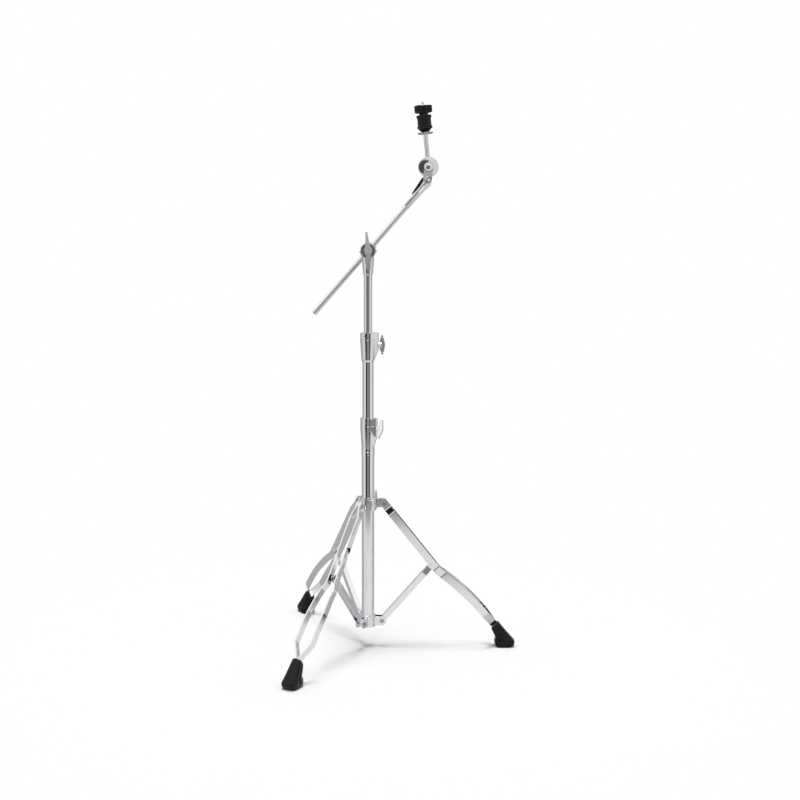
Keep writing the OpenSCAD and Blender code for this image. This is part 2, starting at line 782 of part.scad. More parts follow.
// Casting on the upper tube: tapered socket, drum, sunk front face and toothed back face
module boom_neck() {
    socket_bottom = tilt_z - 54;
    waist_z = tilt_z - 18;
    foot_h = 3;
    wide = upper_tube_d + 8.4;
    color("silver") difference() {
        union() {
            intersection() {
                union() {
                    translate([0, 0, socket_bottom])
                        cylinder(d1 = upper_tube_d + 1.2, d2 = upper_tube_d + 3, h = foot_h);
                    translate([0, 0, socket_bottom + foot_h])
                        cylinder(d1 = upper_tube_d + 3, d2 = wide, h = waist_z - socket_bottom - foot_h);
                    rod(wide, waist_z, tilt_z - 2);
                }
                translate([-wide, -drum_front + 0.4, 0])
                    cube([2 * wide, drum_front + drum_back - 0.4 - 2 * tooth_depth, tilt_z]);
            }
            translate([0, 0, tilt_z]) bar_y(drum_d, -drum_front, drum_back);
        }
        rod(upper_tube_d + 2 * seat_gap, socket_bottom - cut, (tilt_z - drum_d / 2 - 4) + 0.1);
        translate([0, 0, tilt_z]) {
            bar_y(screw_d + 2 * run_gap, -far, far);
            bar_y(drum_d - 2 * drum_rim, -drum_front - cut, -drum_front + drum_recess);
            face_teeth(drum_back - tooth_depth, drum_back + cut);
        }
    }
}

// Wing nut on the eye bolt: a broad cone-shaped hub and two long tapered blades
module boom_wing_nut() {
    base_y = -drum_front + drum_recess - face_gap;
    tip_y = -24.5;
    root_y = -drum_front - 0.8;
    hub_r = drum_d / 2 - drum_rim - 2;
    blade = 43;
    blade_tip = 1.9;
    blade_root = 5;
    turn = -5;
    color("silver") translate([0, 0, tilt_z]) rotate([0, turn, 0]) difference() {
        union() {
            translate([0, base_y, 0]) rotate([90, 0, 0])
                cylinder(r1 = hub_r, r2 = hub_r - 4.5, h = base_y - tip_y - 1.5);
            intersection() {
                plate(tip_y, root_y) polygon([
                    [-blade_tip, blade], [blade_tip, blade], [blade_root, 12], [blade_root, -12],
                    [blade_tip, -blade], [-blade_tip, -blade], [-blade_root, -12], [-blade_root, 12]
                ]);
                rotate([90, 0, 90]) linear_extrude(height = 20, center = true) {
                    polygon([
                        [tip_y, 5], [tip_y - 1.5, blade - 2], [tip_y + 1.5, blade], [tip_y + 8, blade - 2],
                        [root_y, 12], [root_y, -12], [tip_y + 8, 2 - blade],
                        [tip_y + 1.5, -blade], [tip_y - 1.5, 2 - blade], [tip_y, -5]
                    ]);
                }
            }
        }
        bar_y(screw_d + 2 * run_gap, -far, 0);
    }
}

// Bolt with an eye round the boom rod
module eye_bolt() {
    eye_r = boom_rod_d / 2 + 3.2;
    eye_w = 7;
    color("silver") on_boom() difference() {
        union() {
            rotate([0, 90, 0]) cylinder(r = eye_r, h = eye_w, center = true);
            bar_y(screw_d, -rod_y - 23.5, 0);
        }
        bar_x(boom_rod_d + 2 * run_gap, -eye_w, eye_w);
    }
}

// Block behind the neck: toothed front face, pocket for the eye and a bore for the rod
module rod_holder() {
    eye_r = boom_rod_d / 2 + 3.2 + face_gap;
    eye_w = 7 + 2 * face_gap;
    y0 = -holder_t / 2;
    y1 = holder_t / 2;
    lug = 20.3;
    color("lightgray") on_boom() difference() {
        union() {
            bar_y(drum_d - 1, y0, y1);
            rotate([0, boom_angle, 0]) bar_x(6, -lug, lug);
            bar_x(boom_rod_d + 5, -19.5, 19.5);
        }
        bar_x(boom_rod_d + 2 * run_gap, -far, far);
        rotate([0, 90, 0]) cylinder(r = eye_r, h = eye_w, center = true);
        translate([-eye_w / 2, y0 - cut, -screw_d / 2 - face_gap])
            cube([eye_w, holder_t / 2 + cut, screw_d + 2 * face_gap]);
        bar_y(screw_d + 2 * face_gap, y0 - cut, 0);
        face_teeth(y0 - cut, y0 + tooth_depth);
    }
}

// ---------- boom and tilter ----------

module boom_rod() {
    color("gainsboro") on_boom() difference() {
        bar_x(boom_rod_d, -boom_low, boom_high);
        bar_x(boom_rod_d - 3, -boom_low - cut, boom_high + cut);
    }
}

module boom_rod_plug() {
    color("silver") on_boom() {
        bar_x(boom_rod_d + 0.4, -boom_low - 3, -boom_low - 0.05);
        bar_x(boom_rod_d - 3 - 2 * seat_gap, -boom_low - 1, -boom_low + 9);
    }
}

// Outline of the boom end seen from the side
module boom_end_outline() {
    low = boom_rod_d / 2;
    polygon([
        [socket_start, low + socket_wall], [pin_u - 22, low + 0.6], [pin_u - 9.4, pin_v + 4.6],
        [pin_u - 5, pin_v + 9], [pin_u + 2, pin_v + 9], [pin_u + 8, -2], [pin_u - 6, -10],
        [pin_u - 24, -low - 1.9], [socket_start + 30, -low - 0.9], [socket_start, -low - socket_wall]
    ]);
}

// Cast end: socket on the rod, long side slots, forked top with flats for the cheeks
module boom_end() {
    half = cheek_in + cheek_t;
    slot_w = 2.2;
    floor_v = boom_rod_d / 2 + 0.35;
    color("lightgray") on_boom() difference() {
        plate(-half, half) boom_end_outline();
        bar_x(boom_rod_d + 2 * seat_gap, 0, boom_high + 1);
        plate(-far, far) translate([socket_start + 10, -slot_w / 2]) square([52, slot_w]);
        plate(-2.9, 2.9) polygon([
            [socket_start + 27, floor_v], [boom_high - 1.5, floor_v], [boom_high + 4, 4.5],
            [pin_u + 30, -3], [pin_u + 30, 40], [socket_start + 27, 40]
        ]);
        for (m = [0, 1]) mirror([0, m, 0]) {
            plate(cheek_in - 0.1, far) translate([pin_u, pin_v]) circle(r = cheek_low_r + 0.4);
            plate(cheek_in - 0.1, far) cheek_arm(0.2);
        }
        translate([hub_u, 0, hub_v]) bar_y(disc_d + 1, -cheek_in, cheek_in);
        translate([pin_u, 0, pin_v]) bar_y(5 + 2 * seat_gap, -far, far);
        translate([lever_u, 0, lever_v]) bar_y(3 + 2 * seat_gap, -far, far);
    }
}

// Straight part of a cheek between the pin and the hub
module cheek_arm(grow) {
    d = [hub_u - pin_u, hub_v - pin_v];
    n = [-d[1], d[0]] / norm(d);
    low = cheek_low_r - 0.1 + grow;
    high = cheek_high_r - 0.1 + grow;
    polygon([
        [pin_u, pin_v] + low * n, [hub_u, hub_v] + high * n,
        [hub_u, hub_v] - high * n, [pin_u, pin_v] - low * n
    ]);
}

module tilter_cheek(side) {
    color("silver") on_boom() mirror([0, side < 0 ? 1 : 0, 0]) difference() {
        union() {
            plate(cheek_in, cheek_in + cheek_t) translate([pin_u, pin_v]) circle(r = cheek_low_r);
            plate(cheek_in, cheek_in + cheek_t) translate([hub_u, hub_v]) circle(r = cheek_high_r);
            plate(cheek_in, cheek_in + cheek_t) cheek_arm(0);
        }
        translate([hub_u, 0, hub_v]) bar_y(8 + 2 * seat_gap, 0, far);
        translate([pin_u, 0, pin_v]) bar_y(5 + 2 * seat_gap, 0, far);
    }
}

// Disc that carries the post: thin web, raised rim and hub, crescent pocket on each face
module tilter_disc() {
    half = disc_t / 2;
    rim = 3.2;
    pocket = 3;
    pocket_from = 7;
    color("whitesmoke") difference() {
        translate([hub_x, rod_y, hub_z]) difference() {
            bar_y(disc_d, -half, half);
            bar_y(8 + 2 * run_gap, -half - cut, half + cut);
            for (m = [0, 1]) mirror([0, m, 0])
                plate(half - pocket, half + cut) intersection() {
                    difference() {
                        circle(r = disc_r - rim);
                        translate([5.5, 0]) circle(r = disc_r - rim - 3);
                    }
                    translate([-far - pocket_from, -far / 2]) square([far, far]);
                }
        }
        on_post() rod(spigot_d + 2 * seat_gap, disc_r - spigot_len - cut, disc_r + cut);
    }
}

module tilter_hub_bolt() {
    out = cheek_in + cheek_t;
    color("silver") translate([hub_x, rod_y, hub_z]) difference() {
        union() {
            bar_y(8, -out, out);
            bar_y(20, -out - 1.6, -out);
            bar_y(10, -out - 4, -out - 1.6);
            bar_y(15, out, out + 5);
        }
        translate([0, -out - 4 - cut, 0]) rotate([-90, 0, 0]) cylinder(d = 5.8, h = 3.4 + cut, $fn = 6);
    }
}

module cheek_screw() {
    out = cheek_in + cheek_t;
    color("silver") on_boom() translate([pin_u, 0, pin_v]) difference() {
        union() {
            bar_y(5, -out, out);
            bar_y(11, -out - 2.2, -out);
            bar_y(9, out, out + 3);
        }
        bar_y(5.4, -out - 2.2 - cut, -out - 1);
    }
}

module lever_pin() {
    out = cheek_in - 0.1;
    color("silver") on_boom() translate([lever_u, 0, lever_v]) bar_y(3, -out, out);
}

// Black cam lever between the prongs of the boom end
module tilter_lever() {
    half = 2.6;
    pivot = [lever_u, lever_v];
    tip = pivot + [-lever_len, 1];
    nose = 4.6;
    nose_at = 75;
    heel = 5.4;
    heel_at = 97;
    color([0.05, 0.05, 0.05]) on_boom() difference() {
        plate(-half, half) hull() {
            translate(pivot) circle(r = 3.6, $fn = 32);
            translate(pivot + nose * [cos(nose_at), sin(nose_at)]) circle(r = 2.3, $fn = 32);
            translate(pivot + heel * [cos(heel_at), sin(heel_at)]) circle(r = 2, $fn = 32);
            translate(tip) circle(r = 1.5, $fn = 24);
        }
        translate([lever_u, 0, lever_v]) bar_y(3 + 2 * run_gap, -far, far);
    }
}

// Post: spigot in the disc, plain part, shoulder, thread and a thin plain tip
module cymbal_post() {
    color("gainsboro") on_post() {
        rod(spigot_d, disc_r - spigot_len, disc_r + cut);
        rod(post_d, disc_r + 0.1, shoulder_len);
        rod(thread_d, shoulder_len - cut, post_len - pilot_len);
        rod(pilot_d, post_len - pilot_len - cut, post_len);
    }
}

// Flat washer with a turned-up rim that stands on the shoulder of the post
module cup_washer() {
    r = cup_d / 2;
    bore = thread_d / 2 + run_gap;
    color("silver") on_post() translate([0, 0, shoulder_len + run_gap]) rotate_extrude() polygon([
        [bore, 0], [r - 2.6, 0], [r - 0.8, 0.7], [r, 1.8], [r, washer_t + 1.2],
        [r - 0.9, washer_t + 1.2], [r - 1.6, washer_t + 0.2], [r - 2.8, washer_t], [bore, washer_t]
    ]);
}

// Black seat: a cone on the cup washer and a thin sleeve up through both felts
module cymbal_seat() {
    foot_r = 8.6;
    top_r = 13.4;
    bore = thread_d / 2 + run_gap;
    sleeve_r = thread_d / 2 + sleeve_t;
    z0 = felt_start - seat_h;
    color([0.07, 0.07, 0.07]) on_post() rotate_extrude() polygon([
        [bore, z0], [foot_r - 0.6, z0], [foot_r, z0 + 0.6], [foot_r, z0 + 3], [top_r, felt_start - 2],
        [top_r, felt_start], [sleeve_r, felt_start], [sleeve_r, nut_start - cut], [bore, nut_start - cut]
    ]);
}

// Felt: a drum with a lip at one end
module felt(z0, lip_low) {
    r = felt_d / 2;
    waist_r = r - 1.6;
    bore = thread_d / 2 + sleeve_t + run_gap;
    profile = [
        [bore, 0], [r - 2, 0], [r, 2], [r, 4], [waist_r, 6.5],
        [waist_r, felt_t - 0.6], [waist_r - 0.6, felt_t], [bore, felt_t]
    ];
    flip = lip_low ? 0 : 1;
    color([0.09, 0.09, 0.09]) on_post() translate([0, 0, z0 + flip * felt_t]) mirror([0, 0, flip])
        rotate_extrude() polygon(profile);
}

module lower_felt() {
    felt(felt_start + 0.05, true);
}

module upper_felt() {
    felt(felt_start + felt_t + 0.1, false);
}

// Black T-shaped nut with a round hub
module cymbal_wing_nut() {
    span = 38;
    depth = 15;
    arm_h = 12.5;
    hub_r = 10;
    color([0.06, 0.06, 0.06]) on_post() rotate([0, 0, 26]) difference() {
        union() {
            rod(2 * hub_r, nut_start, nut_top - 2);
            intersection() {
                plate(-depth / 2, depth / 2) polygon([
                    [-span / 2, nut_top - arm_h], [2.5 - span / 2, nut_top - arm_h - 3.5],
                    [-hub_r, nut_top - arm_h - 4.5], [hub_r, nut_top - arm_h - 4.5],
                    [span / 2 - 2.5, nut_top - arm_h - 3.5], [span / 2, nut_top - arm_h],
                    [span / 2, nut_top - 1.5], [span / 2 - 1.5, nut_top], [1.5 - span / 2, nut_top],
                    [-span / 2, nut_top - 1.5]
                ]);
                rod(span + 1.6, nut_start, nut_top + cut);
            }
        }
        rod(thread_d + 2 * run_gap, 0, far);
    }
}

base_tube();
bottom_collar();
brace_rivets();
leg_collar();
leg_rivets();
leg_collar_screw();
leg_strip(leg_right, -1);  // leg_strip_right_front
leg_strip(leg_right, 1);  // leg_strip_right_back
leg_strip(leg_rear, -1);  // leg_strip_rear_front
leg_strip(leg_rear, 1);  // leg_strip_rear_back
leg_strip(leg_left, -1);  // leg_strip_left_front
leg_strip(leg_left, 1);  // leg_strip_left_back
cross_rivets(leg_right);  // cross_rivets_right
cross_rivets(leg_rear);  // cross_rivets_rear
cross_rivets(leg_left);  // cross_rivets_left
foot(leg_right);  // foot_right
foot(leg_rear);  // foot_rear
foot(leg_left);  // foot_left
brace(leg_right);  // brace_right
brace(leg_rear);  // brace_rear
brace(leg_left);  // brace_left
brace_bushes(leg_right);  // brace_bushes_right
brace_bushes(leg_rear);  // brace_bushes_rear
brace_bushes(leg_left);  // brace_bushes_left
lower_clamp_body();
lower_clamp_ferrule();
lower_clamp_bush();
lower_clamp_pad();
lower_clamp_screw();
lower_memory_ring();
lower_key_screw();
middle_tube();
upper_clamp_body();
upper_clamp_bush();
upper_clamp_pad();
upper_clamp_screw();
upper_memory_ring();
upper_key_screw();
upper_tube();
boom_neck();
boom_wing_nut();
rod_holder();
eye_bolt();
boom_rod();
boom_rod_plug();
boom_end();
tilter_cheek(-1);  // tilter_cheek_front
tilter_cheek(1);  // tilter_cheek_back
tilter_disc();
tilter_hub_bolt();
cheek_screw();
lever_pin();
tilter_lever();
cymbal_post();
cup_washer();
cymbal_seat();
lower_felt();
upper_felt();
cymbal_wing_nut();
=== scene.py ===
"""Looks of a cymbal boom stand: mirror chrome, black rubber boots, pressed felts and a white studio.

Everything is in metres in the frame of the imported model: +Z up, +X along the right-hand leg,
the column's axis on the floor at the origin, and the viewer of the photograph on the -Y side.
"""
import json
import logging
import math
import random
from dataclasses import dataclass, field
from enum import Enum

import bmesh
import bpy
from mathutils import Matrix, Vector, noise


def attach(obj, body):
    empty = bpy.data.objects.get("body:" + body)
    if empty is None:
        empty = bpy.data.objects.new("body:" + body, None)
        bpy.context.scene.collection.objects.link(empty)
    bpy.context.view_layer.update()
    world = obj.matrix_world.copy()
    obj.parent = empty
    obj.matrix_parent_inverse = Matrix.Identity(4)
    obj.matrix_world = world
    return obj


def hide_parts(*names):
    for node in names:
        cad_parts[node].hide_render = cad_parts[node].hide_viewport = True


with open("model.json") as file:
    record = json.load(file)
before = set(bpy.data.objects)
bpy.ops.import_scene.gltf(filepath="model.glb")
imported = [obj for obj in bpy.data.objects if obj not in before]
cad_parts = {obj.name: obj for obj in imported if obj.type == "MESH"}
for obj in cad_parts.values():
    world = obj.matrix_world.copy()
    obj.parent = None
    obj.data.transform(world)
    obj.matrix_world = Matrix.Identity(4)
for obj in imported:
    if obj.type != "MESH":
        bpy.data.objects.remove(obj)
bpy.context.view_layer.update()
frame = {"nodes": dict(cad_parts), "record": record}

MM = 0.001
WHITE = (1.0, 1.0, 1.0, 1.0)
CAST_TONE = (0.86, 0.86, 0.88)
CAST_GLOSS = (0.07, 0.14)
FILLED = -9.0  # inner size of a painted shade spot that has no hole
LOG = logging.getLogger("cymbal_stand")


class Leg(Enum):
    """The three legs, each with its direction round the column in degrees."""

    RIGHT = 0
    REAR = 120
    LEFT = 240

    @property
    def label(self) -> str:
        """The word that the leg's nodes and bodies end with."""
        return self.name.lower()

    @property
    def turn(self) -> Matrix:
        """Rotation from the plane of the right-hand leg to the plane of this leg."""
        return Matrix.Rotation(math.radians(self.value), 4, "Z")


# ---------------------------------------------------------------- shader helpers


class Shader:
    """A node tree that is filled by short calls."""

    def __init__(self, tree: bpy.types.NodeTree) -> None:
        """Empties the tree.

        Args:
            tree: node tree of a material or of the world.
        """
        self.tree = tree
        tree.nodes.clear()

    def add(self, kind: str, inputs: dict | None = None, **props: object) -> bpy.types.Node:
        """Adds a node.

        Args:
            kind: node type without its ShaderNode prefix.
            inputs: values or output sockets by input name or index.
            props: attributes of the node itself.

        Returns:
            The new node.
        """
        made = self.tree.nodes.new("ShaderNode" + kind)
        for name, value in props.items():
            setattr(made, name, value)
        for key, value in (inputs or {}).items():
            if isinstance(value, bpy.types.NodeSocket):
                self.tree.links.new(value, made.inputs[key])
            else:
                made.inputs[key].default_value = value
        return made

    def math(self, operation: str, first: object, second: object = 0.0) -> bpy.types.NodeSocket:
        """Adds a Math node.

        Args:
            operation: the node's operation.
            first: first value or socket.
            second: second value or socket.

        Returns:
            The node's output socket.
        """
        return self.add("Math", {0: first, 1: second}, operation=operation).outputs[0]

    def ramp(self, value: bpy.types.NodeSocket, stops: list[tuple[float, tuple]]) -> bpy.types.NodeSocket:
        """Adds a colour ramp.

        Args:
            value: socket that drives the ramp.
            stops: positions from 0 to 1, each with its colour.

        Returns:
            The ramp's colour socket.
        """
        made = self.add("ValToRGB", {0: value})
        elements = made.color_ramp.elements
        while len(elements) < len(stops):
            elements.new(0.5)
        for element, (place, colour) in zip(elements, stops):
            element.position = place
            element.color = (*colour, 1.0)
        return made.outputs[0]

    def remap(self, value: object, low: float, high: float, to_low: float = 0.0,
              to_high: float = 1.0) -> bpy.types.NodeSocket:
        """Maps a range of a value to another range, and holds the ends.

        Args:
            value: socket to map.
            low: value that gives to_low.
            high: value that gives to_high.
            to_low: result at low.
            to_high: result at high.

        Returns:
            The mapped socket.
        """
        made = self.add("MapRange", {
            "Value": value, "From Min": low, "From Max": high, "To Min": to_low, "To Max": to_high,
        })
        return made.outputs[0]

    def length(self, first: object, second: object) -> bpy.types.NodeSocket:
        """Length of a vector in a plane.

        Args:
            first: one component.
            second: the other component.

        Returns:
            The length socket.
        """
        squares = [self.math("POWER", part, 2.0) for part in (first, second)]
        return self.math("SQRT", self.math("ADD", *squares))

    def grain(self, scale: float, detail: float = 4.0, rough: float = 0.55) -> bpy.types.NodeSocket:
        """Adds solid noise in object space.

        Args:
            scale: features per metre.
            detail: octaves.
            rough: weight of the finer octaves.

        Returns:
            The noise value socket.
        """
        place = self.add("TexCoord").outputs["Object"]
        made = self.add("TexNoise", {"Vector": place, "Scale": scale, "Detail": detail, "Roughness": rough})
        return made.outputs[0]

    def between(self, value: bpy.types.NodeSocket, low: float, high: float) -> bpy.types.NodeSocket:
        """Maps the middle of a noise value to a range.

        Args:
            value: noise socket.
            low: result where the noise is 0.3.
            high: result where the noise is 0.7.

        Returns:
            The mapped socket.
        """
        return self.remap(value, 0.3, 0.7, low, high)


def grey(level: float) -> tuple[float, float, float]:
    """A neutral colour of one level."""
    return (level, level, level)


# ---------------------------------------------------------------- finishes


@dataclass(frozen=True)
class PaintedShade:
    """Painted shade: a dark ring or spot round an axis along Y, painted where the shade of a gap or recess
    falls, such as the gap round a hub; sizes in millimetres.
    """

    x: float
    z: float
    inner: float
    outer: float
    level: float
    edge: float = 0.5

    def tone(self, shader: Shader) -> bpy.types.NodeSocket:
        """Factor of the painted shade, 1 away from the mark.

        Args:
            shader: tree that receives the nodes.

        Returns:
            The factor socket.
        """
        place = shader.add("SeparateXYZ", {0: shader.add("TexCoord").outputs["Object"]}).outputs
        across = shader.math("SUBTRACT", place[0], self.x * MM)
        upward = shader.math("SUBTRACT", place[2], self.z * MM)
        radius = shader.length(across, upward)
        edge = self.edge * MM
        outside = shader.remap(radius, self.outer * MM - edge, self.outer * MM + edge)
        inside = shader.remap(radius, self.inner * MM + edge, self.inner * MM - edge)
        return shader.remap(shader.math("MAXIMUM", outside, inside), 0.0, 1.0, self.level, 1.0)


@dataclass(frozen=True)
class Plating:
    """Bright chrome plate, with smudges in its gloss and the ripple of the metal under it, and painted shade
    in the rings and spots of its marks.
    """

    name: str
    tone: tuple[float, float, float]
    gloss: tuple[float, float]
    ripple: float
    ripple_scale: float
    edge: float
    painted_shades: tuple = ()

    def material(self) -> bpy.types.Material:
        """Builds the material and returns it."""
        made = bpy.data.materials.new(self.name)
        made.use_nodes = True
        shader = Shader(made.node_tree)
        smudge = shader.grain(38.0, 3.0)
        cloud = shader.grain(9.0, 2.0)
        tone = self.tone
        tint = shader.ramp(cloud, [(0.3, tuple(0.94 * c for c in tone)), (0.7, tone)])
        # Painted shade: each mark multiplies the colour down inside its ring or spot.
        for mark in self.painted_shades:
            tint = shader.add("Mix", {0: 1.0, 6: tint, 7: mark.tone(shader)}, data_type="RGBA",
                              blend_type="MULTIPLY").outputs[2]
        soft = shader.add("Bevel", {"Radius": self.edge}, samples=4).outputs[0]
        bump = shader.add("Bump", {
            "Strength": 1.0, "Distance": self.ripple,
            "Height": shader.grain(self.ripple_scale, 2.0), "Normal": soft,
        })
        body = shader.add("BsdfPrincipled", {
            "Base Color": tint, "Metallic": 1.0, "Roughness": shader.between(smudge, *self.gloss),
            "Normal": bump.outputs[0],
        })
        shader.add("OutputMaterial", {"Surface": body.outputs[0]})
        return made


@dataclass(frozen=True)
class Moulding:
    """Rubber, nylon or felt: a dull body with mottled colour and a fine texture."""

    name: str
    dark: tuple[float, float, float]
    light: tuple[float, float, float]
    roughness: tuple[float, float]
    grain: float
    grain_height: float
    edge: float
    sheen: float = 0.0
    specular: float = 0.5

    def material(self) -> bpy.types.Material:
        """Builds the material and returns it."""
        made = bpy.data.materials.new(self.name)
        made.use_nodes = True
        shader = Shader(made.node_tree)
        fine = shader.grain(self.grain, 6.0, 0.65)
        broad = shader.grain(self.grain / 14.0, 3.0)
        mottled = shader.math("ADD", shader.math("MULTIPLY", fine, 0.5), shader.math("MULTIPLY", broad, 0.5))
        tint = shader.ramp(mottled, [(0.35, self.dark), (0.65, self.light)])
        soft = shader.add("Bevel", {"Radius": self.edge}, samples=4).outputs[0]
        bump = shader.add("Bump", {
            "Strength": 1.0, "Distance": self.grain_height, "Height": fine, "Normal": soft,
        })
        body = shader.add("BsdfPrincipled", {
            "Base Color": tint, "Roughness": shader.between(broad, *self.roughness),
            "Specular IOR Level": self.specular, "Sheen Weight": self.sheen, "Normal": bump.outputs[0],
        })
        shader.add("OutputMaterial", {"Surface": body.outputs[0]})
        return made


class Finish(Enum):
    """The finishes: those of the record's material slots, and closer looks of single nodes, most of which
    carry painted shade.
    """

    CHROME = Plating("chrome", (0.90, 0.90, 0.92), (0.03, 0.07), 0.00002, 60.0, 0.0004)
    SATIN_CAST = Plating("satin_cast", CAST_TONE, CAST_GLOSS, 0.00006, 140.0, 0.0007)
    BRASS = Plating("brass", (0.78, 0.60, 0.30), (0.22, 0.38), 0.00004, 90.0, 0.0003)
    RUBBER = Moulding("rubber", grey(0.003), grey(0.010), (0.18, 0.30), 900.0, 0.00008, 0.0008, 0.0, 0.24)
    BLACK_PLASTIC = Moulding(
        "black_plastic", grey(0.004), grey(0.010), (0.26, 0.42), 700.0, 0.00008, 0.0005, 0.0, 0.22)
    BLASTED_CAST = Plating("blasted_cast", CAST_TONE, (0.16, 0.22), 0.00002, 110.0, 0.0006)
    # Boom neck: painted shade, a dark ring in the recess of the drum round the wing nut's hub.
    SUNK_FACE = Plating("sunk_face", CAST_TONE, CAST_GLOSS, 0.00004, 110.0, 0.0007, (
        PaintedShade(0, 907, 9.5, 15.2, 0.22),
    ))
    # Tilter disc: painted shade, a dark spot left of the hub that darkens the disc's pocket beside the cheek.
    DISC_FACE = Plating("disc_face", CAST_TONE, CAST_GLOSS, 0.00004, 110.0, 0.0007, (
        PaintedShade(127.5, 1092.5, FILLED, 15.5, 0.10, 1.5),
    ))
    # Cheek plates: a darker, rougher plate, with painted shade in rings round the hub bolt's head and the
    # cheek screw's head where they seat.
    CHEEK_FACE = Plating("cheek_face", (0.55, 0.55, 0.57), (0.12, 0.2), 0.00003, 110.0, 0.0005, (
        PaintedShade(134.63, 1092.51, 6.5, 11.4, 0.25), PaintedShade(134.6, 1063.9, 5.8, 7.4, 0.2),
    ))
    # Hub bolt: painted shade, a dark spot over the socket in its head.
    HUB_FACE = Plating("hub_face", CAST_TONE, CAST_GLOSS, 0.00003, 110.0, 0.0005, (
        PaintedShade(133.4, 1090.8, FILLED, 4.4, 0.22),
    ))
    # Lever pin and cheek screw: painted shade, a dark ring round the rim of the cheek screw's head; it misses
    # the lever pin.
    PIN_FACE = Plating("pin_face", CAST_TONE, CAST_GLOSS, 0.00003, 110.0, 0.0004, (
        PaintedShade(134.6, 1063.9, 3.4, 5.6, 0.2),
    ))
    # Boom end: painted shade, a thin dark line for the shade inside the lever's slot, drawn as a ring 2 m in
    # radius so that it reads as straight.
    BOOM_END = Plating("boom_end_painted_shade", CAST_TONE, CAST_GLOSS, 0.00003, 110.0, 0.0006, (
        PaintedShade(-1400.5, 2346.6, 1998.9, 2001.1, 0.18, 0.6),
    ))
    # Rivets: the darker plate is painted shade standing in for their hollow heads; the cup washer wears the
    # same darker plate.
    DARK_PLATE = Plating("dark_plate", (0.42, 0.42, 0.43), (0.14, 0.26), 0.00004, 110.0, 0.0004)
    NYLON = Moulding("nylon", (0.70, 0.69, 0.64), (0.82, 0.81, 0.77), (0.35, 0.5), 500.0, 0.00005, 0.0004)
    FELT = Moulding("felt", grey(0.006), grey(0.022), (0.9, 1.0), 1500.0, 0.0007, 0.0006, 0.22, 0.2)

    @property
    def slot(self) -> str:
        """Name of the finish, which is the record's slot for all but the looks in BY_NODE."""
        return self.value.name


class Palette:
    """One built material for each finish."""

    def __init__(self) -> None:
        """Builds the materials."""
        self.materials = {finish: finish.value.material() for finish in Finish}

    def dress(self, piece: bpy.types.Object, finish: Finish) -> None:
        """Gives a piece one finish all over.

        Args:
            piece: mesh object.
            finish: its finish.
        """
        piece.data.materials.clear()
        piece.data.materials.append(self.materials[finish])


# ---------------------------------------------------------------- mesh helpers


def mesh_piece(name: str, bm: bmesh.types.BMesh, sharp: float = 35.0) -> bpy.types.Object:
    """Turns a bmesh into a linked object with smooth faces and sharp edges.

    Args:
        name: object name.
        bm: geometry, freed here.
        sharp: angle in degrees above which an edge stays sharp.

    Returns:
        The new object.
    """
    bmesh.ops.remove_doubles(bm, verts=bm.verts, dist=1e-7)
    bmesh.ops.recalc_face_normals(bm, faces=bm.faces)
    limit = math.radians(sharp)
    for face in bm.faces:
        face.smooth = True
    for edge in bm.edges:
        edge.smooth = not (len(edge.link_faces) == 2 and edge.calc_face_angle() > limit)
    data = bpy.data.meshes.new(name)
    bm.to_mesh(data)
    bm.free()
    made = bpy.data.objects.new(name, data)
    bpy.context.scene.collection.objects.link(made)
    return made


def loft(bm: bmesh.types.BMesh, rings: list[list[Vector]], close_ends: bool = True) -> None:
    """Joins rings of equal length into a skin.

    Args:
        bm: bmesh that receives the faces.
        rings: closed rings of points.
        close_ends: whether the first and last ring get a cap.
    """
    made = [[bm.verts.new(p) for p in ring] for ring in rings]
    count = len(made[0])
    for low, high in zip(made, made[1:]):
        for i in range(count):
            j = (i + 1) % count
            bm.faces.new((low[i], low[j], high[j], high[i]))
    if close_ends:
        bm.faces.new(list(reversed(made[0])))
        bm.faces.new(made[-1])


# ---------------------------------------------------------------- sub-assemblies


# Nodes whose look differs from their slot's, by the start of the node's name; most of these looks carry
# painted shade
BY_NODE = {
    "cup_washer": Finish.DARK_PLATE,
    "leg_rivets": Finish.DARK_PLATE,
    "brace_rivets": Finish.DARK_PLATE,
    "upper_clamp_body": Finish.BLASTED_CAST,
    "tilter_cheek": Finish.CHEEK_FACE,
    "tilter_disc": Finish.DISC_FACE,
    "boom_neck": Finish.SUNK_FACE,
    "tilter_hub_bolt": Finish.HUB_FACE,
    "lever_pin": Finish.PIN_FACE,
    "cheek_screw": Finish.PIN_FACE,
    "boom_end": Finish.BOOM_END,
}


@dataclass
class CadDress:
    """Finishes of the carried-over nodes, from the record's slots and the few closer looks by node, most of
    which carry painted shade.
    """

    palette: Palette
    record: dict
    nodes: dict

    def apply(self) -> None:
        """Dresses every node with the finish of its slot, or with its closer look in BY_NODE, where most of
        the painted shade lies.
        """
        by_slot = {finish.slot: finish for finish in Finish}
        for row in self.record["subparts"]:
            node = self.nodes[row["node"]]
            look = next((BY_NODE[name] for name in BY_NODE if row["node"].startswith(name)),
                        by_slot[row["material_slot"]])
            self.palette.dress(node, look)
            LOG.info("dressed %s in %s", row["node"], look.slot)


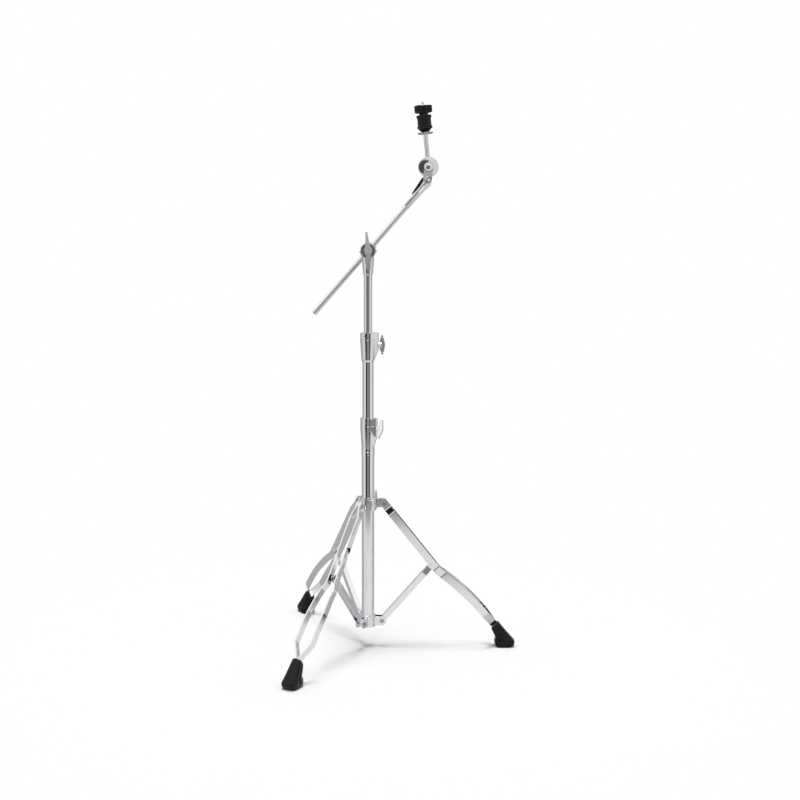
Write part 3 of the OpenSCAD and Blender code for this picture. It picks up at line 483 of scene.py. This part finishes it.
@dataclass
class RubberBoot:
    """Moulded boot of a leg: fluted flanks, a swollen lip and a ribbed rocker sole."""

    palette: Palette
    leg: Leg
    top_r: float = 292 * MM
    top_z: float = 50 * MM
    flutes: int = 5
    flute_depth: float = 1.6 * MM
    ring_points: int = 96
    stations: list[tuple] = field(default_factory=lambda: [
        # inner (r, z), outer (r, z), half width; from the mouth down to the sole
        ((285.6, 42.6), (299.7, 57.4), 7.4),
        ((285.0, 41.6), (300.6, 57.6), 9.6),
        ((285.6, 39.8), (302.6, 56.2), 11.2),
        ((289.5, 31.0), (312.5, 43.5), 13.6),
        ((293.4, 23.8), (322.0, 32.5), 15.0),
        ((294.6, 19.6), (329.0, 24.6), 16.2),
        ((293.6, 17.2), (333.4, 19.6), 17.2),
        ((292.6, 15.2), (336.8, 16.0), 18.1),
        ((292.3, 13.2), (338.6, 12.6), 18.5),
        ((292.6, 8.4), (338.8, 8.6), 18.4),
        ((293.4, 4.6), (337.2, 4.6), 17.9),
        ((295.2, 1.6), (334.4, 1.8), 17.1),
        ((298.0, 0.4), (330.6, 0.4), 15.8),
    ])

    def ring(self, inner: tuple, outer: tuple, half: float, flute: float) -> list[Vector]:
        """One closed ring of the boot.

        Args:
            inner: radius and height of the side nearest the column, in millimetres.
            outer: radius and height of the far side, in millimetres.
            half: half width across the leg, in millimetres.
            flute: share of the flute depth at this ring.

        Returns:
            The ring's points, in metres, in the plane of the right-hand leg.
        """
        points = []
        squareness = 3.6
        for i in range(self.ring_points):
            angle = 2 * math.pi * i / self.ring_points
            c, s = math.cos(angle), math.sin(angle)
            reach = (abs(c) ** squareness + abs(s) ** squareness) ** (-1 / squareness)
            wave = abs(math.sin(angle)) ** 2 * (0.5 - 0.5 * math.cos(2 * self.flutes * angle))
            reach *= 1 - flute * wave * self.flute_depth / (half * MM)
            u = 0.5 + 0.5 * c * reach
            r = inner[0] + (outer[0] - inner[0]) * u
            z = inner[1] + (outer[1] - inner[1]) * u
            points.append(Vector((r, s * reach * half, z)) * MM)
        return points

    def build(self) -> bpy.types.Object:
        """Builds the boot on its leg and returns it."""
        bm = bmesh.new()
        last = len(self.stations) - 1
        rings = []
        for i, (inner, outer, half) in enumerate(self.stations):
            flute = max(0.0, min(1.0, (i - 1) / 2)) * max(0.0, min(1.0, (last - 2 - i) / 3))
            rings.append(self.ring(inner, outer, half, flute))
        loft(bm, rings)
        self.sole_ribs(bm)
        bmesh.ops.transform(bm, matrix=self.leg.turn, verts=bm.verts)
        piece = mesh_piece(f"boot_{self.leg.label}", bm)
        self.palette.dress(piece, Finish.RUBBER)
        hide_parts(f"foot_{self.leg.label}")
        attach(piece, f"leg_{self.leg.label}")
        LOG.info("built %s", piece.name)
        return piece

    def sole_ribs(self, bm: bmesh.types.BMesh) -> None:
        """Adds the cross ribs under the sole.

        Args:
            bm: bmesh of the boot.
        """
        first, last, count = 300.0, 328.0, 6
        for i in range(count):
            r = first + (last - first) * i / (count - 1)
            rings = []
            for z, half_r, half_y in ((0.0, 1.3, 13.5), (0.9, 1.9, 14.5)):
                rings.append([
                    Vector((r + half_r * x, half_y * y, z)) * MM
                    for x, y in ((-1, -1), (1, -1), (1, 1), (-1, 1))
                ])
            loft(bm, rings)


@dataclass
class PressedFelt:
    """A felt of the cymbal seat: a drum with a lip, and a nap of lifted fibres."""

    palette: Palette
    node: str
    body: str
    lip_low: bool
    hub: Vector
    lean: float
    start: float
    height: float = 14.6 * MM
    lip_r: float = 17.0 * MM
    bore_r: float = 4.9 * MM
    around: int = 144

    def profile(self) -> list[tuple[float, float]]:
        """Half section as radius and height, from the bore's foot outwards and back."""
        r, h, b = self.lip_r, self.height, self.bore_r
        arc = [(r - 2 * MM + 2 * MM * math.sin(a), 2 * MM - 2 * MM * math.cos(a))
               for a in (math.pi / 2 * k / 5 for k in range(6))]
        body = r - 1.6 * MM
        top = [(body - 1.2 * MM + 1.2 * MM * math.cos(a), h - 1.2 * MM + 1.2 * MM * math.sin(a))
               for a in (math.pi / 2 * k / 4 for k in range(5))]
        rise = [(r, 4.0 * MM), (r - 0.6 * MM, 5.2 * MM), (body, 6.6 * MM), (body - 0.2 * MM, 9.4 * MM)]
        return [(b, 0.0), (0.5 * r, 0.0), *arc, *rise, *top, (0.5 * r, h), (b, h)]

    def build(self) -> bpy.types.Object:
        """Builds the felt on the post and returns it."""
        rng = random.Random(self.node)
        offset = Vector((rng.uniform(0, 50), rng.uniform(0, 50), rng.uniform(0, 50)))
        bm = bmesh.new()
        rings = []
        for i in range(self.around):
            angle = 2 * math.pi * i / self.around
            ring = []
            for r, z in self.profile():
                z = z if self.lip_low else self.height - z
                nap = 0.0
                if r > self.bore_r + MM:
                    spot = Vector((r * math.cos(angle), r * math.sin(angle), z)) * 900 + offset
                    nap = 0.00022 * noise.fractal(spot, 1.0, 2.0, 4) - 0.00012
                ring.append(Vector(((r + nap) * math.cos(angle), (r + nap) * math.sin(angle), z)))
            rings.append(ring)
        grid = [[bm.verts.new(p) for p in ring] for ring in rings]
        rows = len(grid[0])
        for i in range(self.around):
            a, b = grid[i], grid[(i + 1) % self.around]
            for j in range(rows):
                k = (j + 1) % rows
                bm.faces.new((a[j], b[j], b[k], a[k]))
        leaning = Matrix.Translation(self.hub) @ Matrix.Rotation(-self.lean, 4, "Y")
        place = leaning @ Matrix.Translation((0, 0, self.start))
        bmesh.ops.transform(bm, matrix=place, verts=bm.verts)
        piece = mesh_piece(f"{self.node}_pressed", bm, 60.0)
        self.palette.dress(piece, Finish.FELT)
        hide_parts(self.node)
        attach(piece, self.body)
        LOG.info("built %s", piece.name)
        return piece


@dataclass
class Studio:
    """White floor, overhead light, a studio world that the chrome mirrors, and the camera."""

    camera_distance: float = 2655 * MM
    camera_height: float = 876.3 * MM
    camera_pitch: float = 6.53
    lens: float = 53.16
    shift: float = 0.04
    floor_size: float = 60.0
    paper_r: float = 1.70
    front_low: float = 0.255
    front_high: float = 0.80
    plain_light: float = 0.48
    sun_energy: float = 2.0
    sun_angle: float = 20.0
    fade_start: float = 0.55
    fade_end: float = 0.95

    def bearing(self, shader: Shader, way: object) -> bpy.types.NodeSocket:
        """Bearing round the column: 0.5 towards the viewer, 0.75 to the right, 0 and 1 behind.

        Args:
            shader: tree that receives the nodes.
            way: outputs of a Separate XYZ node.

        Returns:
            The bearing socket.
        """
        turn = shader.math("ARCTAN2", way[0], shader.math("MULTIPLY", way[1], -1.0))
        return shader.math("ADD", shader.math("DIVIDE", turn, 2 * math.pi), 0.5)

    def world(self) -> None:
        """White for the camera, and bands of light and dark flags for what is mirrored."""
        world = bpy.data.worlds.new("studio")
        bpy.context.scene.world = world
        world.use_nodes = True
        shader = Shader(world.node_tree)
        way = shader.add("SeparateXYZ", {0: shader.add("TexCoord").outputs["Generated"]}).outputs
        bearing = self.bearing(shader, way)
        left = [(0.0, 0.42), (0.165, 0.43), (0.24, 0.48), (0.268, 0.76), (0.358, 0.76), (0.375, 0.40),
                (0.389, 0.008), (0.449, 0.008), (0.455, None)]
        right = [(0.552, None), (0.568, 0.006), (0.600, 0.010), (0.612, 0.76), (0.732, 0.76), (0.76, 0.48),
                 (0.835, 0.43), (1.0, 0.42)]
        low = shader.ramp(bearing, [(place, grey(self.front_low if level is None else level))
                                    for place, level in left + right])
        high = shader.ramp(bearing, [(place, grey(self.front_high if level is None else level))
                                     for place, level in left + right])
        horizon = shader.remap(way[2], -0.004, 0.08)
        walls = shader.add("Mix", {0: horizon, 6: low, 7: high}, data_type="RGBA").outputs[2]
        rise = shader.remap(way[2], 0.25, 0.6)
        mirrored = shader.add("Mix", {0: rise, 6: walls, 7: WHITE}, data_type="RGBA")
        path = shader.add("LightPath").outputs
        plain = shader.add("Background", {"Color": WHITE, "Strength": self.plain_light})
        seen = shader.add("Background", {"Color": WHITE, "Strength": 1.0})
        glossy = shader.add("Background", {"Color": mirrored.outputs[2], "Strength": 1.0})
        first = shader.add("MixShader", {0: path["Is Glossy Ray"], 1: plain.outputs[0], 2: glossy.outputs[0]})
        last = shader.add("MixShader", {0: path["Is Camera Ray"], 1: first.outputs[0], 2: seen.outputs[0]})
        shader.add("OutputWorld", {"Surface": last.outputs[0]})

    def floor(self) -> None:
        """A large pale floor that keeps the soft shadows and ends in plain white; to mirrored rays it shows
        painted shade, darker behind, at the sides and, in front, further out.
        """
        bm = bmesh.new()
        bmesh.ops.create_circle(bm, cap_ends=True, segments=128, radius=self.paper_r)
        data = bpy.data.meshes.new("paper_floor")
        bm.to_mesh(data)
        bm.free()
        paper = bpy.data.objects.new("paper_floor", data)
        bpy.context.scene.collection.objects.link(paper)
        paper.location.z = -0.0005
        material = bpy.data.materials.new("paper")
        material.use_nodes = True
        shader = Shader(material.node_tree)
        place = shader.add("SeparateXYZ", {0: shader.add("TexCoord").outputs["Object"]}).outputs
        radius = shader.length(place[0], place[1])
        fade = shader.remap(radius, self.fade_start, self.fade_end)
        path = shader.add("LightPath").outputs
        seen_fade = shader.math("MULTIPLY", fade, path["Is Camera Ray"])
        # Painted shade for mirrored rays: the floor's colour round the column is darker behind and at the
        # sides, and in front darker further out.
        painted_shade_round_column = shader.ramp(self.bearing(shader, place), [
            (0.0, grey(0.41)), (0.255, grey(0.40)), (0.285, grey(0.64)), (0.34, grey(0.71)), (0.5, grey(0.74)),
            (0.66, grey(0.73)), (0.715, grey(0.66)), (0.745, grey(0.40)), (1.0, grey(0.41)),
        ])
        painted_shade_outward = shader.ramp(shader.math("DIVIDE", radius, self.paper_r), [
            (0.0, grey(1.0)), (0.50, grey(0.97)), (0.665, grey(0.88)), (0.75, grey(0.74)), (0.79, grey(0.60)),
            (0.87, grey(0.46)), (1.0, grey(0.36)),
        ])
        in_front = shader.ramp(self.bearing(shader, place), [
            (0.34, grey(0.0)), (0.39, grey(1.0)), (0.61, grey(1.0)), (0.66, grey(0.0)),
        ])
        painted_shade_in_metal = shader.add("Mix", {0: in_front, 6: painted_shade_round_column, 7: painted_shade_outward}, data_type="RGBA",
                              blend_type="MULTIPLY")
        dull = shader.add("BsdfDiffuse", {"Color": (0.90, 0.90, 0.90, 1.0)})
        mirrored = shader.add("BsdfDiffuse", {"Color": painted_shade_in_metal.outputs[2]})
        lit = shader.add("MixShader", {0: path["Is Glossy Ray"], 1: dull.outputs[0], 2: mirrored.outputs[0]})
        white = shader.add("Emission", {"Color": WHITE, "Strength": 1.0})
        mixed = shader.add("MixShader", {0: seen_fade, 1: lit.outputs[0], 2: white.outputs[0]})
        shader.add("OutputMaterial", {"Surface": mixed.outputs[0]})
        data.materials.append(material)

    def lamps(self) -> None:
        """One broad lamp straight above, for the soft shadows under the legs."""
        lamp = bpy.data.lights.new("overhead", "SUN")
        lamp.energy = self.sun_energy
        lamp.angle = math.radians(self.sun_angle)
        made = bpy.data.objects.new("overhead", lamp)
        bpy.context.scene.collection.objects.link(made)

    def camera(self) -> None:
        """The photograph's camera, level but for a slight downward pitch."""
        data = bpy.data.cameras.new("camera")
        data.lens = self.lens
        data.sensor_width = 36.0
        data.shift_x = self.shift
        data.clip_end = 100.0
        made = bpy.data.objects.new("camera", data)
        made.location = (0.0, -self.camera_distance, self.camera_height)
        made.rotation_euler = (math.radians(90 - self.camera_pitch), 0, 0)
        bpy.context.scene.collection.objects.link(made)
        bpy.context.scene.camera = made

    def build(self) -> None:
        """Builds the whole studio."""
        self.world()
        self.floor()
        self.lamps()
        self.camera()
        bpy.context.scene.view_settings.view_transform = "Standard"
        LOG.info("built the studio")


def post_frame(record: dict) -> tuple[Vector, float]:
    """Finds the tilter's hub and the lean of the post from the joints.

    Args:
        record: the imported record.

    Returns:
        The hub in metres and the lean in radians, positive to the left.
    """
    joints = {joint["name"]: joint for joint in record["behaviour"]["joints"]}
    hub = Vector(joints["tilter_angle"]["pos_m"])
    axis = joints["upper_felt_lift"]["axis"]
    return hub, math.atan2(-axis[0], axis[2])


def main() -> None:
    """Builds the looks of the stand in order and reports each piece."""
    logging.basicConfig(level=logging.INFO, format="%(name)s: %(message)s")
    Studio().build()
    palette = Palette()
    CadDress(palette, frame["record"], frame["nodes"]).apply()
    for leg in Leg:
        RubberBoot(palette, leg).build()
    hub, lean = post_frame(frame["record"])
    PressedFelt(palette, "lower_felt", "tilter", True, hub, lean, 84.05 * MM).build()
    PressedFelt(palette, "upper_felt", "upper_felt", False, hub, lean, 98.7 * MM).build()


if __name__ == "__main__":
    main()
